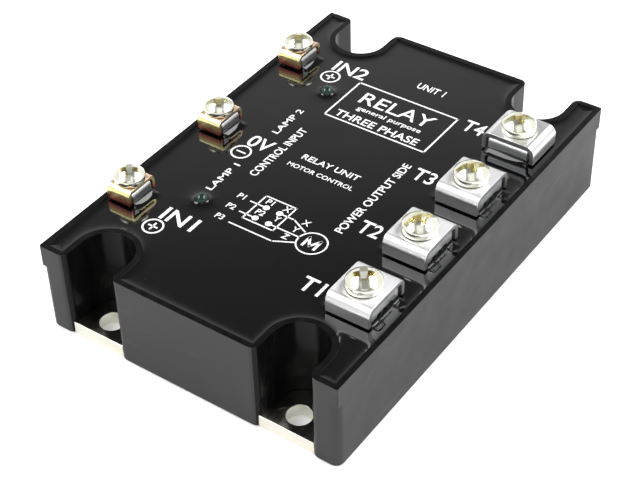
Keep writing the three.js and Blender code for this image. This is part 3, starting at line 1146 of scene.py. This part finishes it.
def ink_text(words, x, y, height, length=None, turned=False, weight=0.012, centred=False):
    """Plain letters with their lower left corner, or their middle, at x, y. height is the
    capitals' height and length, if given, stretches or squeezes the line to that length."""
    curve = bpy.data.curves.new("words", "FONT")
    curve.body = words
    curve.size = 1.0
    curve.offset = weight
    curve.resolution_u = 4
    curve.extrude = 0.01
    holder = place("words", curve)
    bpy.context.view_layer.update()
    mesh = bpy.data.meshes.new_from_object(holder.evaluated_get(
        bpy.context.evaluated_depsgraph_get()))
    bpy.data.objects.remove(holder)
    xs = [v.co.x for v in mesh.vertices]
    ys = [v.co.y for v in mesh.vertices]
    zs = [v.co.z for v in mesh.vertices]
    scale_y = height / (max(ys) - min(ys))
    scale_x = length / (max(xs) - min(xs)) if length else scale_y
    scale_z = INK_THICK * 1.4 / (max(zs) - min(zs))
    obj = place("ink", mesh)
    left, bottom = min(xs), min(ys)
    if centred:
        left, bottom = (left + max(xs)) / 2, (bottom + max(ys)) / 2
    move_mesh(obj, Matrix.Translation((-left, -bottom, -min(zs))))
    move_mesh(obj, Matrix.Diagonal((scale_x * MM, scale_y * MM, scale_z * MM, 1)))
    if turned:
        move_mesh(obj, Matrix.Rotation(-math.pi / 2, 4, "Z"))
    move_mesh(obj, shift(x, y, INK_Z))
    clean(obj, weld=1e-4)
    ink_pieces.append(obj)


def gather_ink(name):
    """Joins the ink made so far into one piece."""
    work = bmesh.new()
    for obj in ink_pieces:
        work.from_mesh(obj.data)
        bpy.data.objects.remove(obj)
    mesh = bpy.data.meshes.new(name)
    work.to_mesh(mesh)
    work.free()
    ink_pieces.clear()
    obj = place(name, mesh)
    finish_piece(obj, "black_resin", "root", material="white_ink")


def print_terminal_marks():
    """Plain terminal names, and a ringed plus or minus beside each control terminal. Turned
    words have their tops towards +X and run towards -Y."""
    for words, x, y, length in (("IN1", -31.6, 22.2, 8.4), ("0V", -1.8, 22.4, 5.9),
                                ("IN2", 32.2, 22.9, 8.6)):
        ink_text(words, x, y, CAPITALS, length, turned=True)
    for x, sign in ((-34.3, "+"), (-4.4, "-"), (29.6, "+")):
        ink_ring(x, POLE_Y, POLE_R)
        ink_box(x, POLE_Y, LINE, POLE_ARM)
        if sign == "+":
            ink_box(x, POLE_Y, POLE_ARM, LINE)
    for words, x in (("T1", -33.3), ("T2", -12.8), ("T3", 7.9), ("T4", 28.5)):
        ink_text(words, x, -13.8, CAPITALS, 5.1, turned=True)
    gather_ink("print_terminal_marks")


def print_titles():
    ink_text("LAMP 1", -18.5, 18.5, 1.6, 10.2)
    ink_text("LAMP 2", 5.1, 18.5, 1.6, 10.2)
    ink_text("CONTROL INPUT", -9.6, 13.5, 2.0, 19.4)
    ink_text("POWER OUTPUT SIDE", -15.1, -12.3, 2.0, 26.6)
    ink_text("RELAY UNIT", 0.8, 9.2, 1.8, 14.5, turned=True)
    ink_text("MOTOR CONTROL", -2.6, 10.5, 1.3, 16.6, turned=True)
    corners = [(17.0, 14.2), (31.3, 14.2), (31.3, -11.7), (17.0, -11.7), (17.0, 14.2)]
    ink_line(corners, 0.4)
    ink_text("RELAY", 24.8, 10.6, 4.1, 18.6, turned=True, weight=0.004)
    ink_text("general purpose", 21.8, 9.3, 1.9, 16.6, turned=True)
    ink_text("THREE PHASE", 17.9, 12.5, 2.4, 21.4, turned=True)
    ink_text("UNIT 1", 36.6, 2.6, 2.2, 7.0, turned=True)
    gather_ink("print_titles")


MOTOR = (-20.9, -8.9)
DIAGRAM_LETTERS = [
    ("P1", -16.5, 11.9), ("P2", -20.3, 11.8), ("P3", -24.2, 11.8),
    ("P1", -14.9, 5.7), ("X", -14.9, 1.4), ("P2", -18.7, 5.5), ("Y", -18.5, 1.4),
    ("X", -16.3, -4.4), ("Y", -19.2, -3.7), ("Z", -22.0, -3.2),
]


def print_wiring_diagram():
    """Two lines through a switch block to a motor, and a third line straight to it."""
    ink_line([(-24.7, 9.1), (-24.7, -1.7), (-22.6, -5.7)], THIN_LINE)
    ink_line([(-22.0, 7.7), (-13.6, 7.7), (-13.6, 0.0), (-22.0, 0.0), (-22.0, 7.7)], THIN_LINE)
    for x in (-20.7, -16.8):
        ink_line([(x, 9.4), (x, 5.4)], THIN_LINE)
        ink_dot(x, 5.4, 0.75)
        ink_dot(x, 2.0, 0.75)
    ink_line([(-20.7, 2.0), (-20.7, -5.7)], THIN_LINE)
    ink_line([(-16.8, 2.0), (-16.8, -1.7), (-18.7, -5.7)], THIN_LINE)
    for words, x, y in DIAGRAM_LETTERS:
        ink_text(words, x, y, 1.6, turned=True, centred=True)
    x, y = MOTOR
    ink_ring(x, y, 3.25, THIN_LINE)
    strokes = [(-1.4, -1.35), (-1.4, 1.35), (0.0, -0.9), (1.4, 1.35), (1.4, -1.35)]
    ink_line([(x + up, y - along) for along, up in strokes], 0.6)
    gather_ink("print_wiring_diagram")


# ---- pieces kept from the CAD


def finish_inner_pieces():
    """The sealed pieces keep their CAD shape and get their own materials. The other CAD pieces
    get theirs too, and are then replaced."""
    slots = {row["node"]: row["material_slot"] for row in frame["record"]["subparts"]}
    for node, obj in frame["nodes"].items():
        obj.data.materials.clear()
        obj.data.materials.append(MATERIALS[slots[node]])


# ---- floor, light, camera


def make_floor():
    s = Shader("pale_floor")
    tone = s.noise(60)
    s.set(Roughness=0.9, Emission_Color=(1, 1, 1, 1), Emission_Strength=0.25)
    s.colour(s.colours(tone, [(0.3, (0.92, 0.92, 0.92)), (0.7, (0.94, 0.94, 0.94))]))
    size = 3000
    corners = [(-size, -size), (size, -size), (size, size), (-size, size)]
    floor = make_object("floor", [(x, y, -0.15) for x, y in corners], [(0, 1, 2, 3)])
    floor.data.materials.append(s.material)


# Each soft box: name, centre, azimuth in degrees, length, width, watts. Lengths in metres.
SOFT_BOXES = (
    ("strip_left", (-0.246, 0.388, 0.6), 23.9, 0.65, 0.28, 4.2),
    ("strip_right", (0.302, -0.364, 0.6), 47.9, 0.65, 0.28, 5.2),
    ("front_fill", (-0.2, -0.15, 0.6), 36, 0.45, 0.34, 0.4),
)
# The room's greys: each is the upward part of the direction, and the grey seen there.
ROOM_GREYS = ((0.0, 1.0), (0.5, 0.95), (0.56, 0.78), (0.6, 0.58), (0.635, 0.40), (0.665, 0.27),
              (0.7, 0.22), (1.0, 0.2))


def add_soft_box(name, centre, azimuth, length, width, power):
    """A wide lamp overhead that lies along an azimuth in degrees and faces the object."""
    light = bpy.data.lights.new(name, "AREA")
    light.shape = "RECTANGLE"
    light.size = length
    light.size_y = width
    light.energy = power
    obj = place(name, light)
    back = Vector(centre).normalized()
    heading = Vector((math.cos(math.radians(azimuth)), math.sin(math.radians(azimuth)), 0))
    along = (heading - back * heading.dot(back)).normalized()
    turn = Matrix((along, back.cross(along), back)).transposed().to_4x4()
    obj.matrix_world = Matrix.Translation(centre) @ turn


def make_world():
    """A pale room that is bright round the horizon and dim overhead."""
    world = bpy.data.worlds.new("room")
    bpy.context.scene.world = world
    world.use_nodes = True
    tree = world.node_tree
    background = tree.nodes["Background"]
    coords = tree.nodes.new("ShaderNodeTexCoord")
    split = tree.nodes.new("ShaderNodeSeparateXYZ")
    ramp = tree.nodes.new("ShaderNodeValToRGB")
    tree.links.new(coords.outputs["Generated"], split.inputs[0])
    tree.links.new(split.outputs["Z"], ramp.inputs["Fac"])
    tree.links.new(ramp.outputs["Color"], background.inputs["Color"])
    elements = ramp.color_ramp.elements
    while len(elements) < len(ROOM_GREYS):
        elements.new(0.5)
    for element, (at, value) in zip(elements, ROOM_GREYS):
        element.position = at
        element.color = (value, value, value, 1)
    background.inputs["Strength"].default_value = 1.0


def make_lights():
    make_world()
    for soft_box in SOFT_BOXES:
        add_soft_box(*soft_box)


CAMERA_PLACE = (-0.21160, -0.14885, 0.22374)
CAMERA_FORWARD = (0.61647, 0.44566, -0.64912)
CAMERA_RIGHT = (0.57096, -0.82070, -0.02123)
CAMERA_LENS = 87.31


def make_camera():
    camera_data = bpy.data.cameras.new("camera")
    camera_data.lens = CAMERA_LENS
    camera_data.sensor_width = 36
    camera_data.clip_start = 0.01
    camera = place("camera", camera_data)
    bpy.context.scene.camera = camera
    forward = Vector(CAMERA_FORWARD)
    right = Vector(CAMERA_RIGHT)
    turn = Matrix((right, right.cross(forward), -forward)).transposed().to_4x4()
    camera.matrix_world = Matrix.Translation(CAMERA_PLACE) @ turn


def main():
    bpy.context.scene.view_settings.view_transform = "Standard"
    finish_inner_pieces()
    make_housing()
    make_base_plate()
    make_resin()
    make_lugs_and_clamps()
    make_screws()
    make_lamps()
    print_terminal_marks()
    print_titles()
    print_wiring_diagram()
    make_floor()
    make_lights()
    make_camera()


main()
